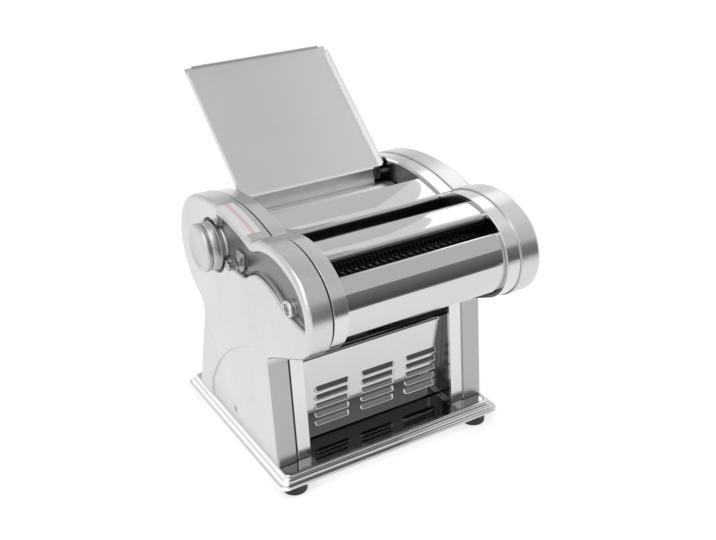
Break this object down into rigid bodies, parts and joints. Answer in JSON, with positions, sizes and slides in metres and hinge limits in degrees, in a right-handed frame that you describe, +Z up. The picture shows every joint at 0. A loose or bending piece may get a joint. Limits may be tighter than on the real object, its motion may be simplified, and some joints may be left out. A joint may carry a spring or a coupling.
{
  "type": "electric pasta maker",
  "caption": "Household electric dough sheeter and cutter: two-lobed steel housings, smooth rollers, a double cutter head, lean-back feed tray and louvred motor base.",
  "frame": {"origin": "middle of the bounding box, on the plane of the feet", "axes": "+X along the rollers towards the gear housing, +Y to the back, +Z up"},
  "size_m": [0.245, 0.3018, 0.3241],
  "materials": {
    "polished_steel": "polished",
    "satin_steel": "satin",
    "gear_steel": "machined",
    "black_rubber": "matt",
    "black_plastic": "matt",
    "satin_aluminium": "satin"
  },
  "bodies": {
    "frame": {"base_pan": "polished_steel", "bottom_plate": "satin_steel", "cable_gland": "black_plastic", "cover_left": "satin_steel", "cover_right": "satin_steel", "cover_screw_left": "polished_steel", "cover_screw_right": "polished_steel", "fine_comb_front": "gear_steel", "fine_comb_rear": "gear_steel", "foot_front_left": "black_rubber", "foot_front_right": "black_rubber", "foot_rear_left": "black_rubber", "foot_rear_right": "black_rubber", "front_shield": "polished_steel", "gearbox": "black_plastic", "leg_screw_left": "polished_steel", "leg_screw_right": "polished_steel", "middle_cover": "polished_steel", "motor": "gear_steel", "noodle_chute": "satin_steel", "plunger_collar": "satin_aluminium", "rear_guard": "polished_steel", "rear_panel": "satin_steel", "roller_guard": "polished_steel", "scraper_front": "gear_steel", "scraper_rear": "gear_steel", "side_plate_left": "polished_steel", "side_plate_right": "polished_steel", "switch_frame": "black_plastic", "tie_rod_low": "gear_steel", "tie_rod_rear": "gear_steel", "tie_rod_top": "gear_steel", "tray_bracket_left": "black_plastic", "tray_bracket_right": "black_plastic", "vent_panel": "polished_steel", "wide_comb_front": "gear_steel", "wide_comb_rear": "gear_steel"},
    "front_roller": {"sheet_roller_front": "satin_steel", "roller_gear_front": "gear_steel"},
    "rear_roller": {"sheet_roller_rear": "satin_steel", "roller_gear_rear": "gear_steel"},
    "link": {"link_gear": "gear_steel"},
    "fine_rear": {"fine_cutter_rear": "gear_steel", "fine_gear_rear": "gear_steel"},
    "fine_front": {"fine_cutter_front": "gear_steel", "fine_gear_front": "gear_steel"},
    "bridge": {"bridge_gear": "gear_steel"},
    "wide_rear": {"wide_cutter_rear": "gear_steel", "wide_gear_rear": "gear_steel"},
    "wide_front": {"wide_cutter_front": "gear_steel", "wide_gear_front": "gear_steel"},
    "transfer": {"transfer_gear": "gear_steel"},
    "drive": {"output_shaft": "gear_steel", "pinion": "gear_steel"},
    "knob": {"thickness_knob": "satin_aluminium", "knob_shaft": "gear_steel"},
    "plunger": {"index_plunger": "polished_steel"},
    "tray": {"feed_tray": "satin_steel"},
    "rocker": {"switch_rocker": "black_plastic"}
  },
  "joints": [
    {"name": "front_roller_turn", "type": "hinge", "parent": "frame", "child": "front_roller", "pos_m": [0, -0.01369, 0.199], "axis": [1, 0, 0], "continuous": true},
    {"name": "rear_roller_turn", "type": "hinge", "parent": "frame", "child": "rear_roller", "pos_m": [0, 0.02631, 0.199], "axis": [1, 0, 0], "continuous": true},
    {"name": "link_turn", "type": "hinge", "parent": "frame", "child": "link", "pos_m": [0, -0.04664, 0.19394], "axis": [1, 0, 0], "continuous": true},
    {"name": "fine_rear_turn", "type": "hinge", "parent": "frame", "child": "fine_rear", "pos_m": [0, -0.06769, 0.204], "axis": [1, 0, 0], "continuous": true},
    {"name": "fine_front_turn", "type": "hinge", "parent": "frame", "child": "fine_front", "pos_m": [0, -0.08769, 0.204], "axis": [1, 0, 0], "continuous": true},
    {"name": "bridge_turn", "type": "hinge", "parent": "frame", "child": "bridge", "pos_m": [0, -0.101, 0.19021], "axis": [1, 0, 0], "continuous": true},
    {"name": "wide_rear_turn", "type": "hinge", "parent": "frame", "child": "wide_rear", "pos_m": [0, -0.11319, 0.205], "axis": [1, 0, 0], "continuous": true},
    {"name": "wide_front_turn", "type": "hinge", "parent": "frame", "child": "wide_front", "pos_m": [0, -0.13199, 0.19816], "axis": [1, 0, 0], "continuous": true},
    {"name": "transfer_turn", "type": "hinge", "parent": "frame", "child": "transfer", "pos_m": [0, -0.00869, 0.14925], "axis": [1, 0, 0], "continuous": true},
    {"name": "drive_turn", "type": "hinge", "parent": "frame", "child": "drive", "pos_m": [0, 0.00031, 0.11028], "axis": [1, 0, 0], "continuous": true},
    {"name": "knob_turn", "type": "hinge", "parent": "frame", "child": "knob", "pos_m": [0, 0.02631, 0.199], "axis": [-1, 0, 0], "range_deg": [0, 240]},
    {"name": "plunger_push", "type": "slide", "parent": "frame", "child": "plunger", "axis": [1, 0, 0], "range_m": [0, 0.0028], "stiffness_N_per_m": 300},
    {"name": "tray_lift", "type": "slide", "parent": "frame", "child": "tray", "axis": [0, 0, 1], "range_m": [0, 0.06]},
    {"name": "rocker_tilt", "type": "hinge", "parent": "frame", "child": "rocker", "pos_m": [0.05045, 0.0788, 0.05297], "axis": [1, 0, 0], "range_deg": [-14, 0]}
  ],
  "couplings": [
    {"joint": "rear_roller_turn", "follows": "front_roller_turn", "ratio": -1},
    {"joint": "link_turn", "follows": "front_roller_turn", "ratio": -1.5},
    {"joint": "fine_rear_turn", "follows": "front_roller_turn", "ratio": 2},
    {"joint": "fine_front_turn", "follows": "front_roller_turn", "ratio": -2},
    {"joint": "bridge_turn", "follows": "front_roller_turn", "ratio": 2.1818},
    {"joint": "wide_rear_turn", "follows": "front_roller_turn", "ratio": -2},
    {"joint": "wide_front_turn", "follows": "front_roller_turn", "ratio": 2},
    {"joint": "transfer_turn", "follows": "front_roller_turn", "ratio": -0.66667},
    {"joint": "drive_turn", "follows": "front_roller_turn", "ratio": 2}
  ]
}
